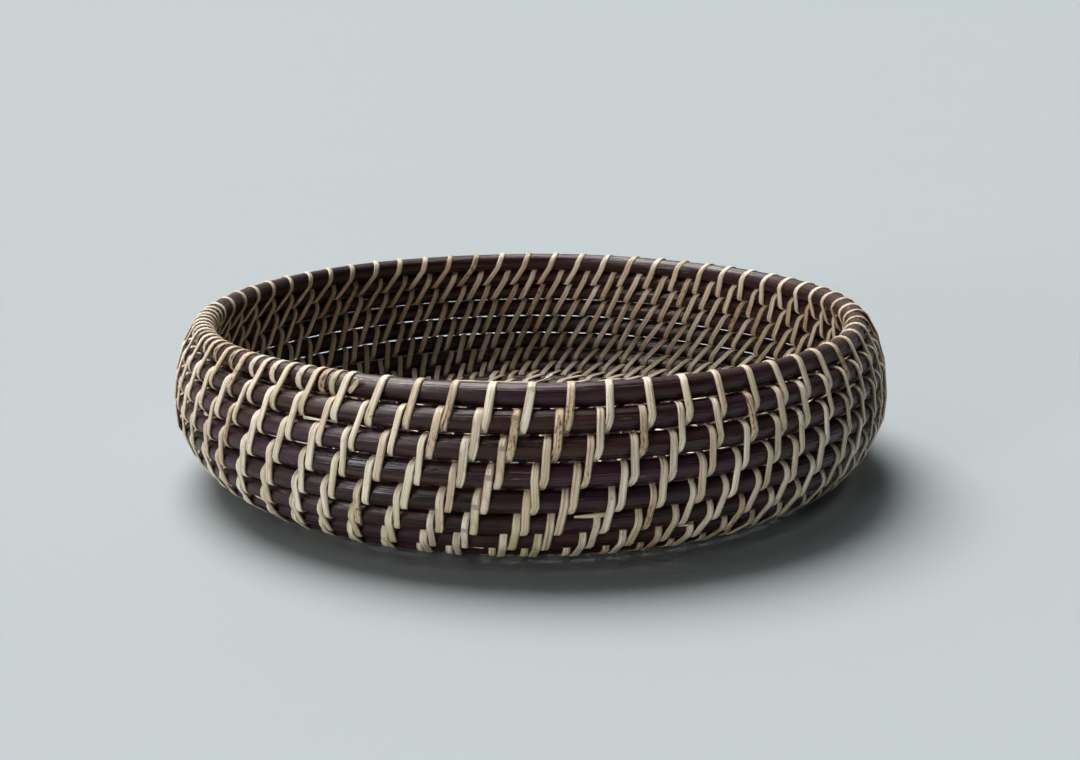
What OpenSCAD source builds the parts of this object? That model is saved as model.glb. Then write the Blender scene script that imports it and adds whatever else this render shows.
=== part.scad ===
// Round fruit basket: closed hoops of stained rattan, laid edge to edge from the rim to the
// middle of a flat base, each hoop bound to the next by its own strand of split cane.
// Millimetres, +Z up, origin on the table under the middle of the base.

/* [Rattan rods] */
// Diameter of every rod
rod_d = 7.8; // [7.4:0.05:7.9]
// Distance between the middles of two neighbouring rods
rod_pitch = 8.6; // [8.6:0.05:9.4]
// Angle that a scarf cut makes with its rod
scarf_angle = 20; // [16:1:40]

/* [Bowl] */
// Slope of the wall where it leaves the base
foot_slope = 19.5; // [14:0.5:26]
// How much steeper the wall gets at each hoop below the belly
lower_turn = 16.5; // [14:0.25:18]
// How much the wall turns in at each hoop above the belly
upper_turn = 11.3; // [4:0.1:14]
// Hoops from the foot up to the belly
belly_hoops = 4; // [3:1:5]

/* [Base] */
// Radius of the round turn that closes the coil in the middle
coil_ring_r = 18.2; // [17.6:0.1:19]

/* [Split cane] */
// Width of a strand
strand_w = 2.8; // [2:0.1:2.9]
// Thickness of a strand
strand_t = 0.6; // [0.4:0.05:0.6]
// Stitches in one round of the wall
wall_stitches = 64; // [32:16:64]
// Sideways step from the stitches of one round to those of the next
stitch_step = 3.4; // [3:0.1:3.5]
// Where the first rim stitch stands, in degrees to the right of the front
first_stitch = -0.1; // [-2:0.1:2]

/* [Rim lashing] */
// First of the extra wraps over the rim's scarf, in degrees to the right of the front
lashing_start = -90; // [-100:1:-80]
// Number of extra wraps
lashing_wraps = 12; // [4:1:14]

/* [Hidden] */
$fn = 96;
wall_hoops = 7;
base_hoops = 11;
rod_r = rod_d / 2;
// Slack between a rod and the strand around it
seat = 0.1;
strand_in_r = rod_r + seat;
strand_out_r = strand_in_r + strand_t;
base_z = strand_out_r;
full_turn = 360;

// Rods count from the rim inwards: 0 is the rim, then the wall, the base and the coil's ring.
last_base_hoop = wall_hoops + base_hoops;
coil_ring = last_base_hoop + 1;

// The coil in the middle is half turns about two middles, which stand half a pitch apart.
half_step = rod_pitch / 2;
coil_second_r = coil_ring_r - half_step;
coil_third_r = coil_second_r - half_step;
coil_inner_r = coil_third_r - half_step;
coil_end_length = 2;

// Three rounds of stitches share each gap between rods, so a round halves its stitches in number
// wherever they would stand closer than this
least_stitch_gap = 2 * stitch_step + strand_w + 0.2;
fewest_stitches = wall_stitches / 8;
inner_strand_w = 2;

kerf = 0.1;
scarf_stagger = 137.5;
rim_scarf = lashing_start + 30;

function hoop_name(i) =
    i == 0 ? "rim_hoop"
    : i <= wall_hoops ? str("wall_hoop_", i)
    : str("base_hoop_", i - wall_hoops);

function binding_name(i) =
    i == 0 ? "rim_binding"
    : i < wall_hoops ? str("wall_binding_", i)
    : i == wall_hoops ? "base_edge_binding"
    : i < last_base_hoop ? str("base_binding_", i - wall_hoops)
    : "centre_binding";

// Slope of the line from rod i + 1 up to rod i: level in the base, past upright at the rim
function lean(i) =
    i > wall_hoops ? 0
    : foot_slope
        + lower_turn * min(wall_hoops - i, belly_hoops)
        + upper_turn * max(wall_hoops - i - belly_hoops, 0);

function hoop_r(i) = i >= coil_ring ? coil_ring_r : hoop_r(i + 1) + rod_pitch * cos(lean(i));
function hoop_z(i) = i >= coil_ring ? base_z : hoop_z(i + 1) + rod_pitch * sin(lean(i));

// Stitches in the round that binds rod i to rod i + 1
function crowding(i, n) = 2 * PI * (hoop_r(i + 1) - rod_pitch / 2) / n;
function halved(i, n) =
    n <= fewest_stitches || crowding(i, n) >= least_stitch_gap ? n : halved(i, n / 2);
function stitch_count(i) = halved(i, wall_stitches);

// Each round starts one step to the left of the round outside it
function degrees_of(arc, radius) = arc / radius * 180 / PI;
function first_azimuth(i) =
    i == 0 ? first_stitch : first_azimuth(i - 1) - degrees_of(stitch_step, hoop_r(i));

// Turns to an azimuth counted from the front, -Y, towards the right, +X
module face(azimuth) {
    rotate([0, 0, azimuth - 90]) children();
}

module rod_section() {
    circle(rod_r);
}

module ring(radius, z) {
    translate([0, 0, z]) rotate_extrude() translate([radius, 0]) rod_section();
}

module half_ring(radius) {
    rotate_extrude(angle = 180) translate([radius, 0]) rod_section();
}

// A hoop is one rod whose two ends lie on each other in a slanting scarf cut
module hoop(i) {
    cut_length = 3 * rod_d / sin(scarf_angle);
    color(i == 0 ? "#3a2428" : "#35211f")
        difference() {
            ring(hoop_r(i), hoop_z(i));
            face(rim_scarf + i * scarf_stagger)
                translate([hoop_r(i), 0, hoop_z(i)])
                    rotate([scarf_angle, 0, 0])
                        cube([2 * rod_d, min(cut_length, hoop_r(i)), kerf], center = true);
        }
}

// The base starts as one rod, curled up tight and closed on itself as a round turn
module base_coil() {
    color("#35211f")
        translate([0, 0, base_z])
            union() {
                translate([half_step - coil_inner_r, -coil_end_length, 0])
                    rotate([-90, 0, 0]) cylinder(r = rod_r, h = coil_end_length);
                translate([half_step, 0, 0]) half_ring(coil_inner_r);
                rotate([0, 0, 180]) half_ring(coil_third_r);
                translate([half_step, 0, 0]) half_ring(coil_second_r);
                ring(coil_ring_r, 0);
            }
}

// Outline round two rods, the second one a pitch along X from the first
module link_outline(radius) {
    circle(radius);
    translate([rod_pitch, 0]) circle(radius);
    translate([0, -radius]) square([rod_pitch, 2 * radius]);
}

// One stitch: a band of cane drawn tight round two rods, the outer one up the slope from the inner
module stitch(inner_r, inner_z, slope, width) {
    translate([inner_r, 0, inner_z])
        rotate([90, 0, 0])
            linear_extrude(height = width, center = true)
                rotate(slope)
                    difference() {
                        link_outline(strand_out_r);
                        link_outline(strand_in_r);
                    }
}

module binding(i) {
    n = stitch_count(i);
    color("#d2c39a")
        for (k = [0 : n - 1])
            face(first_azimuth(i) + k * full_turn / n)
                stitch(hoop_r(i + 1), hoop_z(i + 1), lean(i), strand_w);
}

// Stitches that hold the turns of the coil: three across its front and one behind
module coil_binding() {
    n = fewest_stitches;
    color("#d2c39a") {
        for (k = [-1 : 1])
            face(first_azimuth(coil_ring) % (full_turn / n) + k * full_turn / n)
                stitch(coil_third_r, base_z, 0, strand_w);
        translate([half_step, 0, 0])
            face(180) stitch(coil_inner_r, base_z, 0, inner_strand_w);
    }
}

// Extra wraps round the rim hoop alone, one between each two rim stitches over its scarf
module rim_lashing() {
    gap = full_turn / wall_stitches;
    first = first_stitch + gap * (round((lashing_start - first_stitch) / gap) - 0.6);
    color("#d2c39a")
        for (k = [0 : lashing_wraps - 1])
            face(first + k * gap)
                translate([hoop_r(0), 0, hoop_z(0)])
                    rotate([90, 0, 0])
                        difference() {
                            cylinder(r = strand_out_r, h = strand_w, center = true);
                            cylinder(r = strand_in_r, h = 2 * strand_w, center = true);
                        }
}

for (i = [0 : last_base_hoop]) {
    hoop(i);
    binding(i);
}
base_coil();
coil_binding();
rim_lashing();
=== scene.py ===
"""A round fruit basket: stained rattan hoops laid edge to edge and bound with split cane."""

import bpy
import numpy as np
from mathutils import Matrix, Vector


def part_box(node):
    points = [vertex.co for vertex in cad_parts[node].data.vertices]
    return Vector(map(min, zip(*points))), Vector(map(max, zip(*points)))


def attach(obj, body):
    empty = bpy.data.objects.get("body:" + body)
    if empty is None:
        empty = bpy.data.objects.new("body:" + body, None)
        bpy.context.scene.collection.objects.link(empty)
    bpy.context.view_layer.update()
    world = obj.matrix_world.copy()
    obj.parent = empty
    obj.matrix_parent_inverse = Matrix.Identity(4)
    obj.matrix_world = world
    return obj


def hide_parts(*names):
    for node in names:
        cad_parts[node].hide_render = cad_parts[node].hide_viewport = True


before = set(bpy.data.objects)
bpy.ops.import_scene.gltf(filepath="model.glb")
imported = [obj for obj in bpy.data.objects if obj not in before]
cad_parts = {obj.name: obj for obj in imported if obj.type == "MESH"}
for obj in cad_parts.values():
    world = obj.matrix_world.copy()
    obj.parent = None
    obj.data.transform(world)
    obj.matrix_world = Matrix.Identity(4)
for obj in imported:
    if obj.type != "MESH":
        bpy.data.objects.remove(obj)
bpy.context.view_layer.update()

# ---------------------------------------------------------------------------------------
# The coil in the middle of the base
# One rattan rod, dyed dark brown and sealed, softened in water and curled up tight. Its
# outer end is pared to a long tongue and closes the coil to a round turn.
# ---------------------------------------------------------------------------------------

MM = 0.001
TURN = 2 * np.pi


class Value:
    """A socket of a material's nodes. Arithmetic on it adds Math nodes, node() any other."""

    def __init__(self, tree, socket=None):
        self.tree, self.socket = tree, socket

    def node(self, kind, settings, sockets, out=0):
        """Adds a node, fills its settings and then its sockets, and returns an output if any."""
        made = self.tree.nodes.new("ShaderNode" + kind)
        for name, value in settings.items():
            setattr(made, name, value)
        for name, value in sockets.items():
            if isinstance(value, Value):
                self.tree.links.new(value.socket, made.inputs[name])
            else:
                made.inputs[name].default_value = value
        return Value(self.tree, made.outputs[out] if made.outputs else None)

    def math(self, operation, *values):
        return self.node("Math", {"operation": operation}, dict(enumerate(values)))

    def __add__(self, other):
        return self.math("ADD", self, other)

    def __sub__(self, other):
        return self.math("SUBTRACT", self, other)

    def __rsub__(self, other):
        return self.math("SUBTRACT", other, self)

    def __mul__(self, other):
        return self.math("MULTIPLY", self, other)

    __radd__, __rmul__ = __add__, __mul__

    def noise(self, scales, detail=3.0, roughness=0.55):
        """Noise from 0 to 1 over this vector, with a scale of its own along each axis."""
        stretched = self.node("VectorMath", {"operation": "MULTIPLY"}, {0: self, 1: scales})
        sockets = {"Vector": stretched, "Scale": 1.0, "Detail": detail, "Roughness": roughness}
        return self.node("TexNoise", {}, sockets)

    def ramp(self, low, high):
        """0 below low, 1 above high and a straight line between."""
        return self.node("MapRange", {}, {0: self, 1: low, 2: high})

    def mix(self, first, second):
        """A colour between two, with this value as the share of the second."""
        return self.node("Mix", {"data_type": "RGBA"}, {0: self, 6: first, 7: second}, out=2)


def new_material(name, plain_colour):
    """An empty node material and a first value on which its nodes are built."""
    material = bpy.data.materials.new(name)
    material.use_nodes = True
    material.node_tree.nodes.clear()
    material.diffuse_color = plain_colour
    return material, Value(material.node_tree)


def stained_rattan():
    """Dark brown dye with a cast of purple on rattan core, under a thin satin seal. Pores and
    fibres run along the rod. The dye has taken unevenly, in long streaks, and is scuffed.
    Noise scales are in waves to the metre, along the rod and then across it both ways."""
    material, start = new_material("dyed_rattan", (0.04, 0.022, 0.02, 1))
    grain = start.node("Attribute", {"attribute_name": "grain"}, {}, out=1)
    chance = start.node("Attribute", {"attribute_name": "chance"}, {}, out=2)
    fibres = grain.noise((40, 2100, 2100), 4)
    streaks = grain.noise((18, 620, 620))
    patches = grain.noise((22, 90, 90), 2)
    scuffs = grain.noise((110, 700, 700), 2)
    colour = streaks.ramp(0.36, 0.66).mix((0.010, 0.004, 0.003, 1), (0.080, 0.029, 0.020, 1))
    colour = (patches.ramp(0.42, 0.62) * 0.75).mix(colour, (0.058, 0.022, 0.044, 1))
    colour = (fibres.ramp(0.54, 0.68) * 0.5).mix(colour, (0.135, 0.066, 0.062, 1))
    colour = (chance * 0.4).mix(colour, (0.015, 0.007, 0.004, 1))
    worn = scuffs.ramp(0.66, 0.74) * patches.ramp(0.40, 0.55) * 0.55
    colour = worn.mix(colour, (0.26, 0.17, 0.13, 1))
    height = fibres * 0.8 + streaks
    normal = start.node("Bump", {}, {"Strength": 1.0, "Distance": 0.3 * MM, "Height": height})
    rough = 0.17 + streaks.ramp(0.3, 0.7) * 0.22 + fibres.ramp(0.4, 0.7) * 0.12
    shader = start.node("BsdfPrincipled", {}, {
        "Base Color": colour, "Roughness": rough, "Normal": normal, "Specular IOR Level": 0.6})
    start.node("OutputMaterial", {}, {"Surface": shader})
    return material


def wander(angle, seed, orders, size):
    """A smooth random wave round a ring: cosines of the given whole orders, each with its
    own phase and a height that falls with its order."""
    draw = np.random.default_rng(seed)
    total = np.zeros_like(angle)
    for order in orders:
        phase = draw.uniform(0, TURN)
        total += draw.normal() / order**0.7 * np.cos(order * angle + phase)
    return size * total


def tube_mesh(name, points, grain, chance, closed=False):
    """A tube over a grid of points, with rows along it and columns round it. The columns
    wrap round. The last row joins the first if the tube is closed, or else a fan shuts each
    end. grain gives each point's place along and across the fibres, and chance one random
    number for each row, both for the material."""
    rows, columns = points.shape[:2]
    corner = np.arange(rows * columns).reshape(rows, columns)
    here = corner if closed else corner[:-1]
    ahead = np.roll(corner, -1, 0) if closed else corner[1:]
    sides = np.stack([here, np.roll(here, -1, 1), np.roll(ahead, -1, 1), ahead], -1)
    faces = sides.reshape(-1, 4).tolist()
    vertices, grains = points.reshape(-1, 3), grain.reshape(-1, 3)
    chances = np.repeat(chance, columns)
    if not closed:
        hubs = rows * columns + np.arange(2)
        vertices = np.vstack([vertices, points[[0, -1]].mean(1)])
        grains = np.vstack([grains, grain[[0, -1]].mean(1)])
        chances = np.append(chances, chance[[0, -1]])
        first, last = corner[0], corner[-1]
        faces += np.stack([np.full(columns, hubs[0]), np.roll(first, -1), first], 1).tolist()
        faces += np.stack([np.full(columns, hubs[1]), last, np.roll(last, -1)], 1).tolist()
    mesh = bpy.data.meshes.new(name)
    mesh.from_pydata(vertices.tolist(), [], faces)
    mesh.attributes.new("grain", "FLOAT_VECTOR", "POINT").data.foreach_set("vector", grains.ravel())
    mesh.attributes.new("chance", "FLOAT", "POINT").data.foreach_set("value", chances)
    mesh.polygons.foreach_set("use_smooth", np.ones(len(mesh.polygons), bool))
    mesh.set_sharp_from_angle(angle=1.1)
    mesh.update()
    return mesh


def add_piece(name, meshes, material, node):
    """Joins the meshes into one object, which rides on the basket and stands for a node."""
    objects = [bpy.data.objects.new(name, mesh) for mesh in meshes]
    for made in objects:
        bpy.context.scene.collection.objects.link(made)
    if len(objects) > 1:
        with bpy.context.temp_override(active_object=objects[0], selected_editable_objects=objects):
            bpy.ops.object.join()
    made = objects[0]
    made.data.name = name
    made.data.materials.append(material)
    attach(made, "root")
    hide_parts(node)
    return made


def middle_of(node):
    """A hoop's radius, the height of its middle and the radius of its rod, from its box."""
    low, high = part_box(node)
    rod_radius = (high.z - low.z) / 2
    return max(high.x - low.x, high.y - low.y) / 2 - rod_radius, (high.z + low.z) / 2, rod_radius


RATTAN = stained_rattan()
COIL_R, COIL_Z, ROD_R = middle_of("base_coil")
PITCH = middle_of("base_hoop_11")[0] - COIL_R
ROUND = np.linspace(0, TURN, 20, endpoint=False)
COIL_END = 2 * MM
COIL_GAP = 0.2 * MM
COIL_CHANCE = 0.4
HALF_TURNS = 5
FIRST_STEPS = 28
MORE_STEPS = 8
TONGUE_THIN = 0.04
TONGUE_ROUND = 0.4


def coil_mesh():
    """A rod's round section carried along the coil. From its short straight end the middle
    line makes three half turns about two middles half a pitch apart, each half a pitch wider
    than the last, and then one full turn. On the second half of that turn the section's
    inner side moves out with the turn inside it, down to a thin tongue."""
    swings, middles, radii = [], [], []
    for half_turn in range(HALF_TURNS):
        count = FIRST_STEPS + MORE_STEPS * half_turn
        swings.append(np.pi * (1 - half_turn) - np.linspace(0, np.pi, count, endpoint=False))
        middles.append(np.full(count, PITCH / 2 if half_turn in (0, 2) else 0.0))
        radii.append(np.full(count, COIL_R - PITCH / 2 * max(3 - half_turn, 0)))
    swing, middle, radius = (np.concatenate(part) for part in (swings, middles, radii))
    outward = np.stack([np.cos(swing), np.sin(swing), 0 * swing], 1)
    line = outward * radius[:, None] + np.stack([middle, 0 * middle, COIL_Z + 0 * middle], 1)
    end = line[0] - [0, COIL_END, 0]
    line = np.vstack([end, line])
    outward = np.vstack([outward[:1], outward])
    swing = np.append(swing[0], swing)
    # how far the turn inside stands from the full turn's own middle line
    inner_r = PITCH / 2 * np.cos(swing) + np.sqrt(
        (COIL_R - PITCH / 2) ** 2 - (PITCH / 2 * np.sin(swing)) ** 2)
    room = np.where(swing < -3 * np.pi, COIL_R - inner_r - COIL_GAP, PITCH)
    share = np.clip(room / (2 * ROD_R), TONGUE_THIN, 1)
    across = ROD_R - (ROD_R - ROD_R * np.cos(ROUND)) * share[:, None]
    up = ROD_R * np.sin(ROUND) * share[:, None] ** TONGUE_ROUND
    points = line[:, None] + across[..., None] * outward[:, None] + up[..., None] * [0, 0, 1]
    along = np.append(0, np.cumsum(np.linalg.norm(np.diff(line, axis=0), axis=1)))
    grain = np.stack([along[:, None] + 0 * up, ROD_R * np.cos(ROUND) + 0 * up, up], -1)
    return tube_mesh("base_coil_rod", points, grain, COIL_CHANCE + 0 * along)


add_piece("base_coil_rod", [coil_mesh()], RATTAN, "base_coil")

# ---------------------------------------------------------------------------------------
# The hoops of the base, the wall and the rim
# Each is one rod of the same dyed rattan, bent to a ring. Its two ends are pared on a slant
# and lie on each other, and the hoops are held together by the cane alone.
# ---------------------------------------------------------------------------------------

WALL_HOOPS = sum(name.startswith("wall_hoop_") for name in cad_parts)
BASE_HOOPS = sum(name.startswith("base_hoop_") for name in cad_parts)
HOOPS = ["rim_hoop"]
HOOPS += [f"wall_hoop_{count + 1}" for count in range(WALL_HOOPS)]
HOOPS += [f"base_hoop_{count + 1}" for count in range(BASE_HOOPS)]
RADII, HEIGHTS = np.array([middle_of(node)[:2] for node in HOOPS + ["base_coil"]]).T
RIM_SCARF = np.radians(-60)
SCARF_STAGGER = np.radians(137.5)
SCARF_ANGLE = np.radians(20)
KERF = 0.12 * MM
HOOP_STEP = 3.2 * MM
FEWEST_STEPS = 64
SWAY = 0.35 * MM
BASE_SWAY = 0.25
LIFT = 0.22 * MM
OWN_SWAY = 0.07 * MM
OWN_LIFT = 0.06 * MM
SWELL = 0.13 * MM


def place(radius, angle, height):
    """Points from a radius, an angle from the front, -Y, towards the right, and a height."""
    return np.stack([radius * np.sin(angle), -radius * np.cos(angle), height], -1)


def middle_line(row, angle):
    """The middle of a hoop at each angle, as radius and height. The whole bowl is a little
    out of round and its rim a little uneven, less so further down, and each hoop has a
    slight wave of its own."""
    loose = (HEIGHTS[row] - HEIGHTS[-1]) / (HEIGHTS[0] - HEIGHTS[-1])
    swaying = BASE_SWAY + (1 - BASE_SWAY) * loose
    radius = RADII[row] + swaying * wander(angle, 1, (2, 3, 4, 5, 7), SWAY)
    height = HEIGHTS[row] + loose * wander(angle, 2, (2, 3, 5, 6), LIFT)
    radius = radius + wander(angle, 50 + row, (4, 5, 7, 9, 12), OWN_SWAY)
    height = height + loose * wander(angle, 80 + row, (4, 6, 9, 11), OWN_LIFT)
    return radius, height


def hoop_mesh(row):
    """A round section carried clockwise round the middle line, swollen a little, and more in
    some places than in others. Every section leans by the scarf's angle, so that the first and the
    last are the two faces of its slanting cut."""
    count = max(int(TURN * RADII[row] / HOOP_STEP), FEWEST_STEPS)
    turned = np.linspace(0, 1, count)[:, None] * (TURN - KERF / np.sin(SCARF_ANGLE) / RADII[row])
    slant = ROD_R * np.sin(ROUND) / np.tan(SCARF_ANGLE) / RADII[row]
    angle = RIM_SCARF + row * SCARF_STAGGER - turned + slant
    radius, height = middle_line(row, angle)
    thick = ROD_R + SWELL + wander(angle, 120 + row, (4, 7, 11, 19), 0.5 * SWELL)
    points = place(radius + thick * np.cos(ROUND), angle, height + thick * np.sin(ROUND))
    flat = 0 * angle
    grain = np.stack([RADII[row] * angle + row, ROD_R * np.cos(ROUND) + flat,
                      ROD_R * np.sin(ROUND) + 0.1 * row + flat], -1)
    chance = np.random.default_rng(row).random()
    return tube_mesh(HOOPS[row] + "_rod", points, grain, chance + 0 * angle[:, 0])


for row, node in enumerate(HOOPS):
    add_piece(node + "_rod", [hoop_mesh(row)], RATTAN, node)

# ---------------------------------------------------------------------------------------
# The bindings
# Each row of cane is one long strand, split from the skin of the rattan, crowned outside
# and flat inside. It is wound on wet round two neighbouring hoops, dries tight, and each
# row's turns go in beside the turns of the row above.
# ---------------------------------------------------------------------------------------


def split_cane():
    """Pale straw cane, a little glossy, with fibres along it. It varies from turn to turn
    between bone white, green and tan. Some turns are streaked and speckled brown, and the
    edges are darker. Noise scales are in waves to the metre, along the
    strand, across it and through it."""
    material, start = new_material("straw_cane", (0.6, 0.5, 0.34, 1))
    grain = start.node("Attribute", {"attribute_name": "grain"}, {}, out=1)
    chance = start.node("Attribute", {"attribute_name": "chance"}, {}, out=2)
    parts = start.node("SeparateXYZ", {}, {0: grain}, out=1)
    edge = parts.math("ABSOLUTE", parts).ramp(0.95 * MM, 1.42 * MM)
    fibres = grain.noise((60, 3200, 500), 4)
    streaks = grain.noise((30, 1250, 300), 2)
    stains = grain.noise((95, 300, 100), 3)
    specks = grain.noise((520, 1500, 300), 2)
    spoilt = chance.ramp(0.80, 0.88)
    colour = chance.ramp(0.35, 0.9).mix((0.90, 0.83, 0.70, 1), (0.70, 0.57, 0.41, 1))
    colour = (chance.ramp(0.28, 0.0) * 0.75).mix(colour, (0.58, 0.54, 0.28, 1))
    colour = (streaks.ramp(0.5, 0.6) * (0.42 + spoilt * 0.3)).mix(colour, (0.38, 0.26, 0.14, 1))
    colour = (fibres.ramp(0.5, 0.68) * 0.5).mix(colour, (0.30, 0.20, 0.11, 1))
    colour = (stains.ramp(0.60, 0.72) * (0.55 + spoilt * 0.4)).mix(colour, (0.38, 0.17, 0.06, 1))
    dark = specks.ramp(0.66, 0.72) * 0.55 + specks.ramp(0.5, 0.62) * spoilt * 0.75
    colour = dark.mix(colour, (0.09, 0.045, 0.025, 1))
    colour = (edge * 0.6).mix(colour, (0.15, 0.085, 0.05, 1))
    height = fibres * 0.6 + streaks
    normal = start.node("Bump", {}, {"Strength": 1.0, "Distance": 0.3 * MM, "Height": height})
    rough = 0.34 + fibres.ramp(0.35, 0.7) * 0.24
    shader = start.node("BsdfPrincipled", {}, {
        "Base Color": colour, "Roughness": rough, "Normal": normal, "Specular IOR Level": 0.45})
    start.node("OutputMaterial", {}, {"Surface": shader})
    return material


CANE = split_cane()
CANE_WIDTH = 2.75 * MM
CANE_THICK = 0.82 * MM
# under the base the strands have been pressed flat
UNDER_THICK = 0.62 * MM
GRAIN_SPREAD = 10
# The section, as shares of half the width and of the thickness: from one edge over the
# crown to the other, and back along the flat side
CROWN = np.array([(1, .38), (.9, .76), (.6, .95), (0, 1), (-.6, .95), (-.9, .76), (-1, .38),
                  (-.85, 0), (.85, 0)]).T


def cane_mesh(name, path, away, width, thick, tilt, chance, closed=False):
    """The cane's section carried along a path. away points off the rods, the section's
    width lies square to it and to the path, and tilt rolls the section about the path."""
    if closed:
        ahead = np.roll(path, -1, 0) - np.roll(path, 1, 0)
    else:
        ahead = np.gradient(path, axis=0)
    ahead /= np.linalg.norm(ahead, axis=1)[:, None]
    side = np.cross(away, ahead)
    side /= np.linalg.norm(side, axis=1)[:, None]
    away = np.cross(ahead, side)
    across = CROWN[0] * width[:, None] / 2
    over = CROWN[1] * thick[:, None]
    lean_side = across * np.cos(tilt)[:, None] - over * np.sin(tilt)[:, None]
    lean_over = across * np.sin(tilt)[:, None] + over * np.cos(tilt)[:, None]
    lean_over += np.abs(np.sin(tilt) * width)[:, None] / 2
    points = path[:, None] + lean_side[..., None] * side[:, None]
    points += lean_over[..., None] * away[:, None]
    along = np.append(0, np.cumsum(np.linalg.norm(np.diff(path, axis=0), axis=1)))
    offset = np.random.default_rng(len(name) + len(path)).random() * GRAIN_SPREAD
    grain = np.stack([along[:, None] + offset + 0 * across, across, over], -1)
    return tube_mesh(name, points, grain, chance, closed)


def beside_rods(upper, lower, share, swing, angle):
    """A path on the skin of two rods laid side by side, and the direction off them. share
    runs from the upper rod, 0, to the lower, 1, and swing goes round them, from the outside
    of the bowl, 0, under the lower rod to the inside, half a turn, and back over the upper."""
    upper_r, upper_z = upper(angle)
    lower_r, lower_z = lower(angle)
    apart = np.hypot(upper_r - lower_r, upper_z - lower_z)
    up_r, up_z = (upper_r - lower_r) / apart, (upper_z - lower_z) / apart
    away_r = up_z * np.cos(swing) - up_r * np.sin(swing)
    away_z = -up_r * np.cos(swing) - up_z * np.sin(swing)
    radius = upper_r + (lower_r - upper_r) * share + ROD_R * away_r
    height = upper_z + (lower_z - upper_z) * share + ROD_R * away_z
    return place(radius, angle, height), place(away_r, angle, away_z)


def beside_hoops(row, share, swing, angle):
    """The same on hoop row and the next one in from it."""
    return beside_rods(lambda a: middle_line(row, a), lambda a: middle_line(row + 1, a),
                       share, swing, angle)


def turn_course():
    """One turn of a strand round two rods: share and swing as above, the part of the way
    down the outside, and the part of the way on to the next turn. Each stretch is a line
    with its own number of points and its own slope, sideways travel over length."""
    arc = np.pi / 2 * ROD_R
    stretches = [
        # share from and to, swing from and to in quarter turns, points, length, slope
        (0, 1, 0, 0, 4, PITCH, 0),
        (1, 1, 0, 1, 4, arc, 0.30),
        (1, 1, 1, 2, 4, arc, 0.42),
        (1, 0, 2, 2, 3, PITCH, 0.50),
        (0, 0, 2, 3, 4, arc, 0.40),
        (0, 0, 3, 4, 4, arc, 0.12)]
    share, swing, down, onward = [], [], [], []
    gone = 0.0
    for share_0, share_1, swing_0, swing_1, count, length, slope in stretches:
        part = np.arange(count) / count
        share.append(share_0 + (share_1 - share_0) * part)
        swing.append((swing_0 + (swing_1 - swing_0) * part) * np.pi / 2)
        down.append(part if slope == 0 else np.ones(count))
        onward.append(gone + slope * length * part)
        gone += slope * length
    share, swing, down, onward = (np.concatenate(part) for part in (share, swing, down, onward))
    return share, swing, down, onward / gone


SHARE, SWING, DOWN, ONWARD = turn_course()
ROWS = len(HOOPS)
COLUMNS = 64
FEWEST = COLUMNS // 8
FIRST = np.radians(-0.1)
ROW_STEP = 3.4 * MM
LEAST_APART = 2 * ROW_STEP + 3.0 * MM
CROWDED = 0.045
FIRST_SHIFT = 0.8 * MM
SHIFT_SPREAD = 0.3 * MM
# how far a turn slants on its way down the outside, and how much more so at the left
SLANT = 0.95 * MM
LEFT_SLANT = 1.1 * MM
LEAST_SLANT = 0.2 * MM
MOST_SLANT = 1.9 * MM
SLANT_SPREAD = 0.42 * MM
# from the foot of a turn to the top of the turn below it
BESIDE = 2.85 * MM
BESIDE_SPREAD = 0.5 * MM


def stitch_angles():
    """Where each turn of each row starts down the outside, and where it ends. Columns go
    clockwise and stand a little closer in front. A turn slants more at the left of the bowl
    than at the right, and the turn below goes in close beside its foot."""
    draw = np.random.default_rng(5)
    tops, feet = np.zeros((2, ROWS, COLUMNS))
    even = FIRST - np.arange(COLUMNS) * TURN / COLUMNS
    tops[0] = even - CROWDED * np.sin(even)
    tops[0] += (FIRST_SHIFT + draw.normal(0, SHIFT_SPREAD, COLUMNS)) / RADII[0]
    for row in range(ROWS):
        slant = np.clip(SLANT - LEFT_SLANT * np.sin(tops[row]), LEAST_SLANT, MOST_SLANT)
        slant += draw.normal(0, SLANT_SPREAD, COLUMNS)
        feet[row] = tops[row] - slant / RADII[row]
        if row + 1 < ROWS:
            beside = BESIDE + draw.random(COLUMNS) * BESIDE_SPREAD
            tops[row + 1] = feet[row] - beside / RADII[row + 1]
    return tops, feet


def stitch_count(row):
    """The number of turns in a row. It halves where the turns would crowd each other."""
    count = COLUMNS
    while count > FEWEST and TURN * (RADII[row + 1] - PITCH / 2) / count < LEAST_APART:
        count //= 2
    return count


# how much narrower and thinner a strand is where it is tucked between the rods
NARROWED = 0.08
THINNED = 0.32
WIDTH_SPREAD = 0.09
THICK_SPREAD = 0.08
TILT_SPREAD = np.radians(5)
# the middle of a turn's way down the outside, as a part of the turn
OUTSIDE = 0.15
# rows from this one down have more of their turns green
GREEN_FROM = 4
GREENER = 1.7


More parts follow.
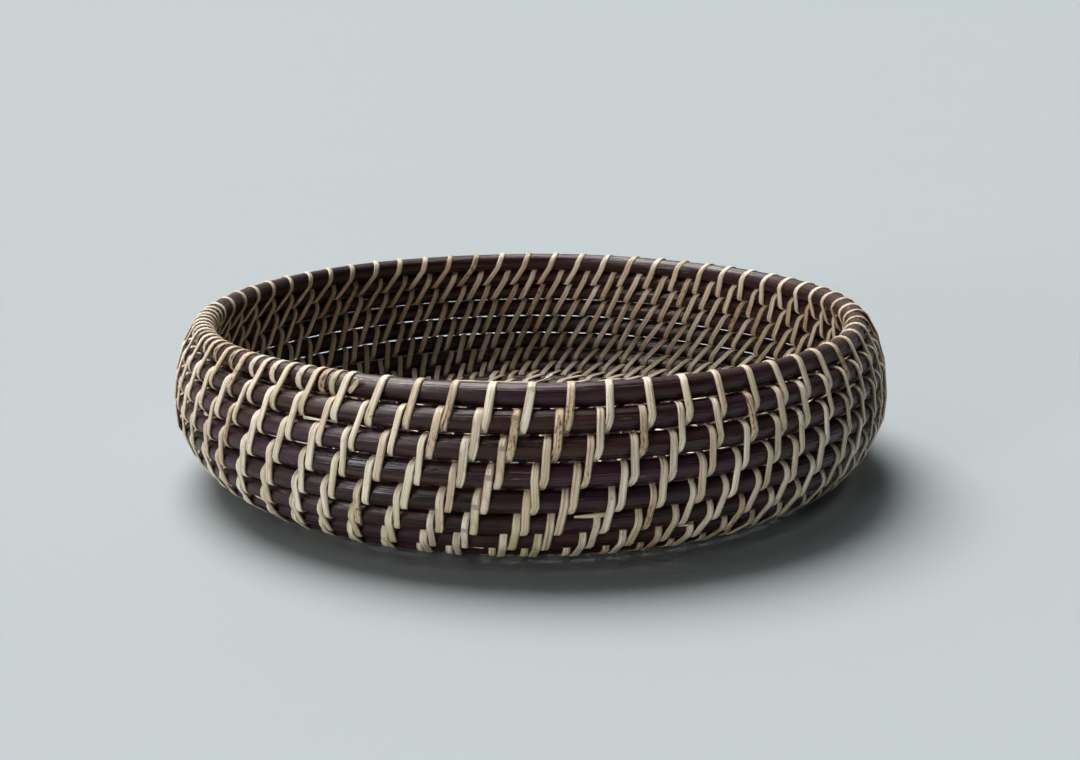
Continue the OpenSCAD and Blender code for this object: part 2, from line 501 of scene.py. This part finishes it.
def binding_mesh(row, name):
    """A strand wound right round the bowl, turn by turn, on hoop row and the one inside it.
    What differs from turn to turn changes smoothly along the strand."""
    count = stitch_count(row)
    top = TOPS[row, ::COLUMNS // count]
    foot = FEET[row, ::COLUMNS // count]
    following = np.append(top[1:], top[0] - TURN)
    angle = top[:, None] + (foot - top)[:, None] * DOWN + (following - foot)[:, None] * ONWARD
    swing = np.tile(SWING, count)
    path, away = beside_hoops(row, np.tile(SHARE, count), swing, angle.ravel())
    draw = np.random.default_rng(9876 + row)
    along = np.arange(len(swing)) / len(SWING)

    def varying(values):
        return np.interp(along, np.arange(count) + OUTSIDE, values, period=count)

    wider, thicker, tilted = (varying(draw.normal(0, 1, count)) for _ in range(3))
    tucked = np.sin(swing) ** 2
    width = CANE_WIDTH * (1 + WIDTH_SPREAD * np.clip(wider, -2, 0.9)) * (1 - NARROWED * tucked)
    under = row >= WALL_HOOPS
    thick = (UNDER_THICK if under else CANE_THICK) * (1 - THINNED * tucked)
    thick *= 1 + THICK_SPREAD * np.clip(thicker, -1.5, 1.0)
    tilt = (0 if under else TILT_SPREAD) * tilted * np.clip(np.cos(swing), 0, 1)
    chance = varying(draw.random(count) ** (GREENER if row >= GREEN_FROM else 1))
    return cane_mesh(name, path, away, width, thick, tilt, chance, closed=True)


END_THICK = 0.55 * MM
END_POINTS = 9
# how deep a strand's end lies in its groove, and the parts by which it rises and narrows
SUNK = 1.5 * MM
RISEN = 0.3
POINTED = 0.6


def splice_mesh(name, row, angle, length, width, chance):
    """The cut end of a strand, which lies in the groove below hoop row, thins from where it
    comes out from under a stitch, and follows the groove to its tip."""
    part = np.linspace(0, 1, END_POINTS)
    flat = 0 * part
    path, away = beside_hoops(row, flat + 0.5, flat, angle + part * length / RADII[row])
    path = path - away * (1 - RISEN * part[:, None]) * SUNK
    return cane_mesh(name, path, away, width * (1 - POINTED * part**2), END_THICK + flat,
                     flat, chance + flat)


RIM_TOP = 1.5 * np.pi
LAID_FROM, LAID_LONG = np.radians(-10.6), np.radians(11.0)
LAID_POINTS = 24
LAID_WIDTH = 1.9 * MM
TIP_FROM, TIP_LONG = np.radians(0.2), np.radians(3.2)
TIP_WIDTH = 2.5 * MM
TIP_THICK = 0.6 * MM
TIP_RISE = 3.2 * MM


def laid_end_meshes():
    """Where the rim's strand begins, its first end lies along the top of the rim under the
    first turns, and its tip, left over, stands up off the inside of the rim."""
    part = np.linspace(0, 1, LAID_POINTS)
    flat = 0 * part
    path, away = beside_hoops(
        0, flat, RIM_TOP + 0.25 + 0.08 * np.sin(9 * part), LAID_FROM + LAID_LONG * part)
    laid = cane_mesh("laid_end", path, away, LAID_WIDTH + flat, END_THICK + flat, flat, 0.3 + flat)
    part = np.linspace(0, 1, END_POINTS)
    flat = 0 * part
    path, away = beside_hoops(0, flat, RIM_TOP - 0.35 + flat, TIP_FROM + TIP_LONG * part)
    path = path + away * (part[:, None] ** 1.6) * TIP_RISE
    tip = cane_mesh("laid_tip", path, away, TIP_WIDTH * (1 - 0.2 * part), TIP_THICK + flat,
                    0.5 * part, 0.25 + flat)
    return [laid, tip]


# one strand's end crosses the gap of this row at the front
CROSSING_ROW = 4
CROSSING_FROM = np.radians(10.8)
CROSSING_LONG = 12 * MM
CROSSING_WIDTH = 2.2 * MM
SPLICES = 3
BINDINGS = ["rim_binding"] + [f"wall_binding_{count + 1}" for count in range(WALL_HOOPS - 1)]
BINDINGS += ["base_edge_binding"] + [f"base_binding_{count + 1}" for count in range(BASE_HOOPS - 1)]
BINDINGS += ["centre_binding"]
TOPS, FEET = stitch_angles()
splice_draw = np.random.default_rng(17)
for row, node in enumerate(BINDINGS):
    strands = [binding_mesh(row, node + "_cane")]
    for column in splice_draw.integers(0, COLUMNS, SPLICES if row < WALL_HOOPS else 0):
        strands.append(splice_mesh(
            f"{node}_end_{column}", row + 1, FEET[row, column], splice_draw.uniform(4, 9) * MM,
            splice_draw.uniform(1.1, 1.7) * MM, splice_draw.random()))
    if row == 0:
        strands += laid_end_meshes()
    if row == CROSSING_ROW:
        strands.append(splice_mesh(
            f"{node}_crossing", row, CROSSING_FROM, -CROSSING_LONG, CROSSING_WIDTH, 0.05))
    add_piece(node + "_cane", strands, CANE, node)

# ---------------------------------------------------------------------------------------
# The stitches of the coil
# Three turns of the same cane hold the coil's outer turns across its front, and one holds
# its start at the back. Their ends are tucked in between the rods.
# ---------------------------------------------------------------------------------------

COIL_STITCHES = 3
COIL_FIRST = np.radians(-13)
COIL_ADVANCE = 0.25
BACK_ADVANCE = 0.2
BACK_WIDTH = 2 * MM
# the points of a turn that lie on the straights between the two rods
STRAIGHT = np.flatnonzero((SHARE > 0) & (SHARE < 1))


def single_turn(name, upper, lower, angle, advance, width, thick, chance, moved=0.0, lower_rod=True):
    """One turn of cane that starts and ends tucked in on the lower side, advance further
    on. With lower_rod off it goes round the upper rod alone."""
    used = np.arange(len(SHARE))
    if not lower_rod:
        used = np.setdiff1d(used, STRAIGHT)
    share, swing = SHARE[used] * lower_rod, SWING[used]
    first = np.argmin(np.abs(swing - np.pi / 2))
    order = np.append(np.roll(np.arange(len(swing)), -first), first)
    swing = swing[order]
    turned = np.linspace(0, 1, len(order))
    path, away = beside_rods(upper, lower, share[order], swing, angle - advance * (turned - 0.5))
    path = path + [moved, 0, 0]
    tucked = np.sin(swing) ** 2
    flat = 0 * swing
    return cane_mesh(name, path, away, width * (1 - NARROWED * tucked), thick * (1 - THINNED * tucked),
                     flat, flat + chance)


def level_ring(radius):
    """The middle line of a turn of the coil, like middle_line for a hoop."""
    return lambda angle: (radius + 0 * angle, COIL_Z + 0 * angle)


coil_turns = []
for count in range(COIL_STITCHES):
    coil_turns.append(single_turn(
        f"coil_turn_{count}", level_ring(COIL_R), level_ring(COIL_R - PITCH),
        (count - 1) * TURN / FEWEST + COIL_FIRST, COIL_ADVANCE, CANE_WIDTH, UNDER_THICK,
        0.2 + 0.3 * count))
coil_turns.append(single_turn(
    "coil_turn_back", level_ring(COIL_R - PITCH / 2), level_ring(COIL_R - 3 * PITCH / 2),
    np.pi, BACK_ADVANCE, BACK_WIDTH, UNDER_THICK, 0.6, moved=PITCH / 2))
add_piece("coil_binding_cane", coil_turns, CANE, "coil_binding")

# ---------------------------------------------------------------------------------------
# The rim lashing
# Over the rim's scarf the cane takes an extra wrap round the rim hoop alone between every
# two stitches. Its cut end curls out from under the rim where the wraps stop.
# ---------------------------------------------------------------------------------------

LASH_COLUMN = 5
LASH_WRAPS = 12
LASH_ADVANCE = 3.6 * MM
LASH_PLACE, LASH_SPREAD = 0.47, 0.03
CROWDED_WRAPS = [0.33, 0.66]
TAIL_POINTS = 12
TAIL_FROM, TAIL_LONG = 1.0 * MM, 4.6 * MM
TAIL_LOW, TAIL_CLIMB = 0.26 * np.pi, 0.3 * np.pi
TAIL_CURL = 2.0 * MM
TAIL_THICK = 0.7 * MM
lash_draw = np.random.default_rng(9)
# the part of the way from one rim stitch to the next, first the two crowded into one space
spread = lash_draw.normal(LASH_PLACE, LASH_SPREAD, LASH_WRAPS - 1)
wraps = []
for place_along in np.append(CROWDED_WRAPS, np.arange(1, LASH_WRAPS) + spread):
    column = LASH_COLUMN + int(place_along)
    wrap_angle = np.interp(place_along % 1, [0, 1], TOPS[0, column:column + 2])
    wraps.append(single_turn(
        f"wrap_{len(wraps)}", lambda a: middle_line(0, a), lambda a: middle_line(1, a), wrap_angle,
        LASH_ADVANCE / RADII[0], CANE_WIDTH * lash_draw.uniform(0.85, 1.0), CANE_THICK,
        lash_draw.random(), lower_rod=False))
part = np.linspace(0, 1, TAIL_POINTS)
path, away = beside_hoops(0, 0 * part, TAIL_LOW - TAIL_CLIMB * part,
                          TOPS[0, LASH_COLUMN] + (TAIL_FROM + TAIL_LONG * part) / RADII[0])
path = path + away * part[:, None] ** 2 * TAIL_CURL
wraps.append(cane_mesh("cut_tail", path, away, CANE_WIDTH * (0.72 - 0.3 * part**4),
                       TAIL_THICK + 0 * part, 0 * part, 0.84 + 0 * part))
add_piece("rim_lashing_cane", wraps, CANE, "rim_lashing")

# ---------------------------------------------------------------------------------------
# The table, the light and the camera
# A pale sheet runs on behind the basket and rises into the backdrop. The main light is a
# broad soft sun from behind and above the left, with a low weak one in front on the left, a
# soft box that only shows as a shine, and a dome that is darker in front and at the right.
# ---------------------------------------------------------------------------------------

FLAT_OUT = 1.2
RIM_OUT = 60.0
RIM_SLOPE = np.tan(np.radians(3.2))
SIDES = 64
RINGS = 24
# flat under the basket, then each ring a little steeper than the last, so that no horizon shows
ring = np.geomspace(FLAT_OUT, RIM_OUT, RINGS)
slope = RIM_SLOPE * np.linspace(0, 1, RINGS)
rise = np.append(0, np.cumsum((slope[1:] + slope[:-1]) / 2 * np.diff(ring)))
around = np.linspace(0, TURN, SIDES, endpoint=False)
grid = place(ring[:, None] + 0 * around, around + 0 * ring[:, None], rise[:, None] + 0 * around)
corner = np.arange(RINGS * SIDES).reshape(RINGS, SIDES)
beside = np.roll(corner, -1, 1)
rising = np.stack([corner[:-1], corner[1:], beside[1:], beside[:-1]], -1).reshape(-1, 4)
sheet = bpy.data.meshes.new("floor_sheet")
sheet.from_pydata(grid.reshape(-1, 3).tolist(), [], [corner[0].tolist(), *rising.tolist()])
sheet.polygons.foreach_set("use_smooth", np.ones(len(sheet.polygons), bool))
sheet_material, start = new_material("floor_sheet", (0.6, 0.65, 0.67, 1))
shader = start.node("BsdfPrincipled", {}, {
    "Base Color": (0.42, 0.468, 0.498, 1), "Roughness": 0.85, "Specular IOR Level": 0.15})
start.node("OutputMaterial", {}, {"Surface": shader})
sheet.materials.append(sheet_material)
floor_sheet = bpy.data.objects.new("floor_sheet", sheet)
bpy.context.scene.collection.objects.link(floor_sheet)

sun = bpy.data.lights.new("sun", "SUN")
sun.energy, sun.angle, sun.color = 3.35, np.radians(40), (1.0, 0.97, 0.93)
sun_object = bpy.data.objects.new("sun", sun)
sun_object.rotation_euler = Vector((-0.3, 0.4, 1.0)).to_track_quat("Z", "Y").to_euler()
bpy.context.scene.collection.objects.link(sun_object)

fill = bpy.data.lights.new("fill", "SUN")
fill.energy, fill.angle, fill.color = 1.2, np.radians(10), (1.0, 0.965, 0.925)
fill_object = bpy.data.objects.new("fill", fill)
fill_object.rotation_euler = Vector((-1.25, -1.35, 0.2)).to_track_quat("Z", "Y").to_euler()
fill_object.visible_glossy = False
bpy.context.scene.collection.objects.link(fill_object)

sheen = bpy.data.lights.new("sheen", "AREA")
sheen.size, sheen.energy, sheen.color = 0.7, 14, (0.97, 0.97, 1.0)
sheen_object = bpy.data.objects.new("sheen", sheen)
sheen_spot = Vector((-1.3, -0.9, 1.1))
sheen_object.location = sheen_spot
sheen_object.rotation_euler = sheen_spot.to_track_quat("Z", "Y").to_euler()
sheen_object.visible_diffuse = False
bpy.context.scene.collection.objects.link(sheen_object)

world = bpy.data.worlds.new("sky")
bpy.context.scene.world = world
world.use_nodes = True
world.node_tree.nodes.clear()
start = Value(world.node_tree)
direction = start.node("TexCoord", {}, {})
sideways = start.node("SeparateXYZ", {}, {0: direction}, out=0)
backward = start.node("SeparateXYZ", {}, {0: direction}, out=1)
upward = start.node("SeparateXYZ", {}, {0: direction}, out=2)
sky = (backward - sideways).ramp(-0.7, 0.9).mix((0.03, 0.028, 0.027, 1), (0.38, 0.38, 0.375, 1))
sky = (upward.ramp(0.4, 0.95) * 0.1).mix(sky, (0.42, 0.42, 0.41, 1))
background = start.node("Background", {}, {"Color": sky, "Strength": 1.0})
start.node("OutputWorld", {}, {"Surface": background})

LOOK_AT = Vector((1.6, 0, 32.5)) * MM
CAMERA_RISE = np.radians(14.2)
CAMERA_ROLL = np.radians(0.3)
CAMERA_AWAY = 570.6 * MM
camera = bpy.data.cameras.new("camera")
camera.sensor_width = 36
camera.lens = 46.3
camera.shift_x = 0.0046
camera.clip_start = 0.01
camera.clip_end = 200
camera_object = bpy.data.objects.new("camera", camera)
camera_object.location = LOOK_AT + CAMERA_AWAY * Vector((0, -np.cos(CAMERA_RISE), np.sin(CAMERA_RISE)))
turned = Matrix.Rotation(np.pi / 2 - CAMERA_RISE, 4, "X") @ Matrix.Rotation(-CAMERA_ROLL, 4, "Z")
camera_object.rotation_euler = turned.to_euler()
bpy.context.scene.collection.objects.link(camera_object)
bpy.context.scene.camera = camera_object
bpy.context.scene.view_settings.view_transform = "Standard"
bpy.context.scene.view_settings.look = "Medium High Contrast"
